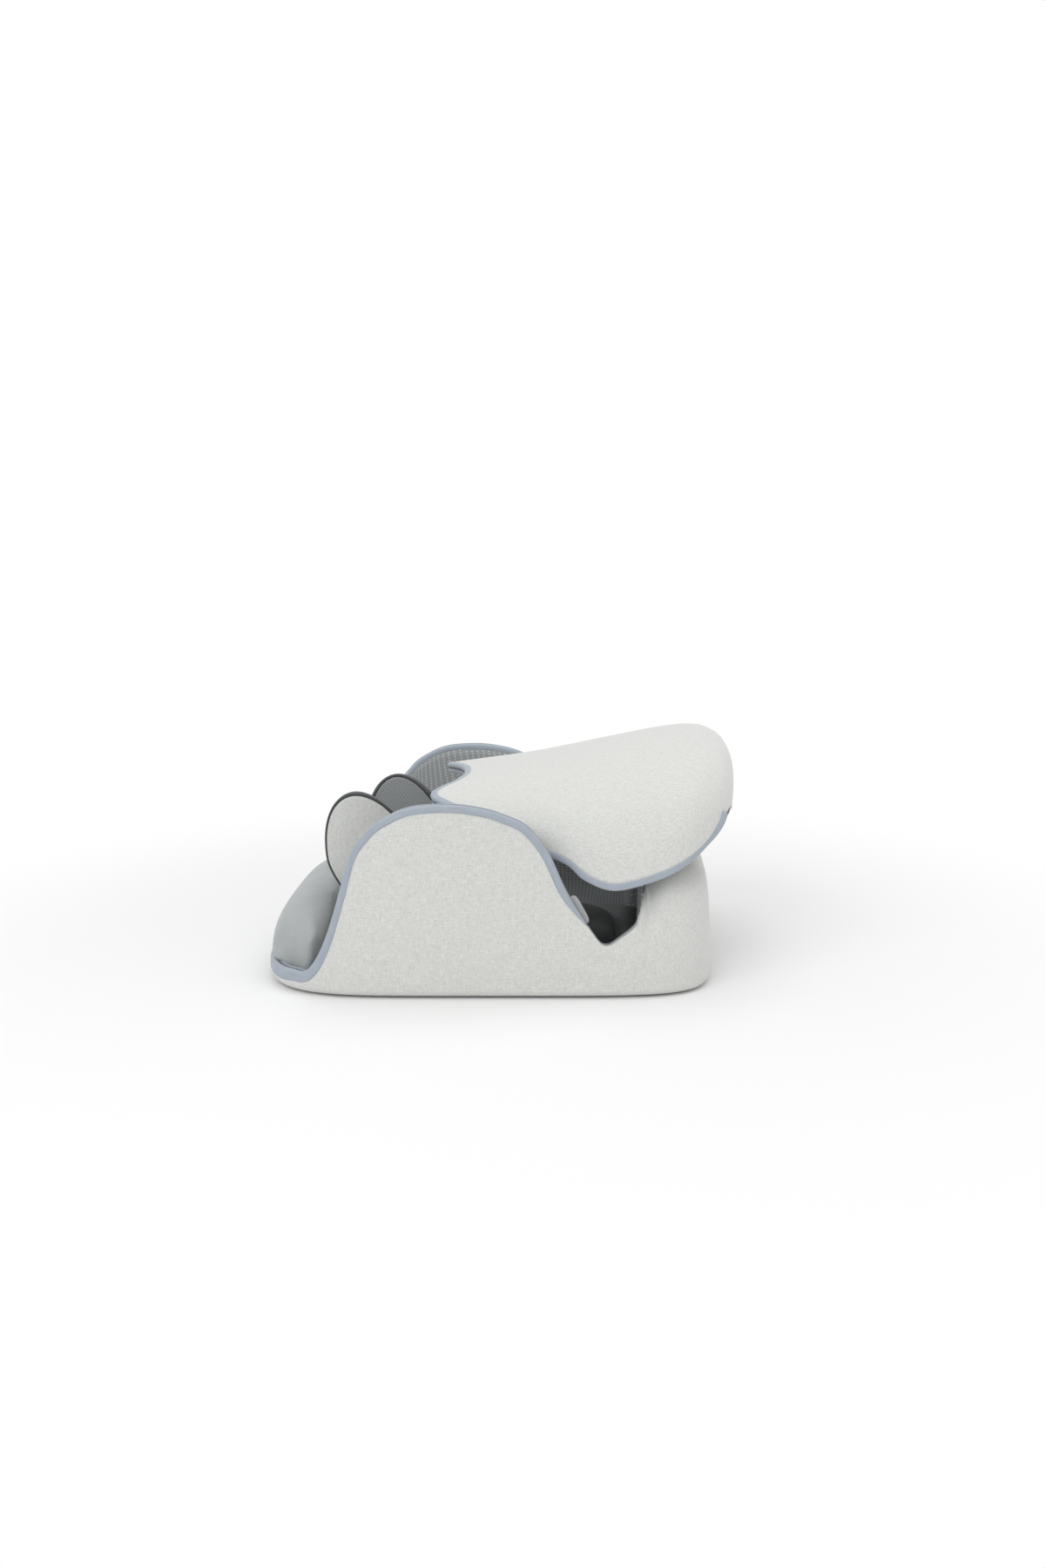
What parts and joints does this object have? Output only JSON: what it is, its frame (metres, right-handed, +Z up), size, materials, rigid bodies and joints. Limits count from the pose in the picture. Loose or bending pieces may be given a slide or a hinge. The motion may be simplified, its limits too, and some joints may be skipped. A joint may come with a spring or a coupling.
{
  "type": "neck traction cradle",
  "caption": "Padded head-and-neck traction cradle with shoulder wings, a fold-over hood, soft neck wings and an air-lifted neck bed.",
  "frame": {"origin": "on the ground under the middle of the folded object's box", "axes": "+X from the shoulder lip to the crown end, +Y to the far side in the picture, +Z up"},
  "size_m": [0.3559, 0.2752, 0.1739],
  "materials": {
    "melange_fabric": "pale warm-grey melange cloth",
    "slate_binding": "slate blue-grey edge tape",
    "grey_lining": "grey lining with small pale dots",
    "dark_lining": "dark mesh lining",
    "foam": "grey foam",
    "zip_coil": "dark coil zip",
    "air_film": "flexible air-cell film",
    "black_plastic": "black moulding",
    "grey_plastic": "grey moulding",
    "slate_plastic": "slate moulding",
    "grip_rubber": "non-slip sheet",
    "plated_steel": "plated steel",
    "circuit_board": "circuit board",
    "clear_hose": "soft hose"
  },
  "bodies": {
    "base": {"base_shell": "melange_fabric", "base_binding": "slate_binding", "base_liner": "grey_lining", "grip_sheet": "grip_rubber", "neck_roll": "grey_lining", "roll_riser": "foam", "traction_cell": "air_film", "head_pad": "dark_lining", "pull_tab": "grey_plastic", "left_wing_cell": "air_film", "right_wing_cell": "air_film", "equipment_tray": "black_plastic", "air_pump": "plated_steel", "pump_head": "black_plastic", "air_valve_1": "grey_plastic", "air_valve_2": "grey_plastic", "air_valve_3": "grey_plastic", "battery_pack": "black_plastic", "control_board": "circuit_board", "control_panel": "grey_plastic", "charge_socket": "plated_steel", "left_wing_hose": "clear_hose", "right_wing_hose": "clear_hose"},
    "hood": {"hood_shell": "melange_fabric", "hood_liner": "dark_lining", "hood_binding": "slate_binding", "hinge_panel": "melange_fabric", "left_temple_cell": "air_film", "right_temple_cell": "air_film", "brow_cell": "air_film"},
    "right_neck_wing": {"right_neck_wing": "melange_fabric", "right_neck_lining": "dark_lining", "right_neck_zip": "zip_coil"},
    "left_neck_wing": {"left_neck_wing": "melange_fabric", "left_neck_lining": "dark_lining", "left_neck_zip": "zip_coil"},
    "neck_bed": {"neck_bed": "dark_lining"},
    "power_button": {"power_button": "slate_plastic"}
  },
  "joints": [
    {"name": "hood_fold", "type": "hinge", "parent": "base", "child": "hood", "pos_m": [0.14, 0, 0.091], "axis": [0, 1, 0], "range_deg": [0, 95]},
    {"name": "traction_lift", "type": "slide", "parent": "base", "child": "neck_bed", "axis": [0, 0, 1], "range_m": [0, 0.018], "deforming": ["traction_cell"]},
    {"name": "right_wing_flex", "type": "hinge", "parent": "base", "child": "right_neck_wing", "pos_m": [-0.089, -0.052, 0.03], "axis": [1, 0, 0], "range_deg": [-11, 12], "stiffness_Nm_per_rad": 0.6},
    {"name": "left_wing_flex", "type": "hinge", "parent": "base", "child": "left_neck_wing", "pos_m": [-0.072, 0.052, 0.03], "axis": [-1, 0, 0], "range_deg": [-11, 12], "stiffness_Nm_per_rad": 0.6},
    {"name": "power_press", "type": "slide", "parent": "base", "child": "power_button", "axis": [-1, 0, 0], "range_m": [0, 0.0012], "stiffness_N_per_m": 600}
  ]
}
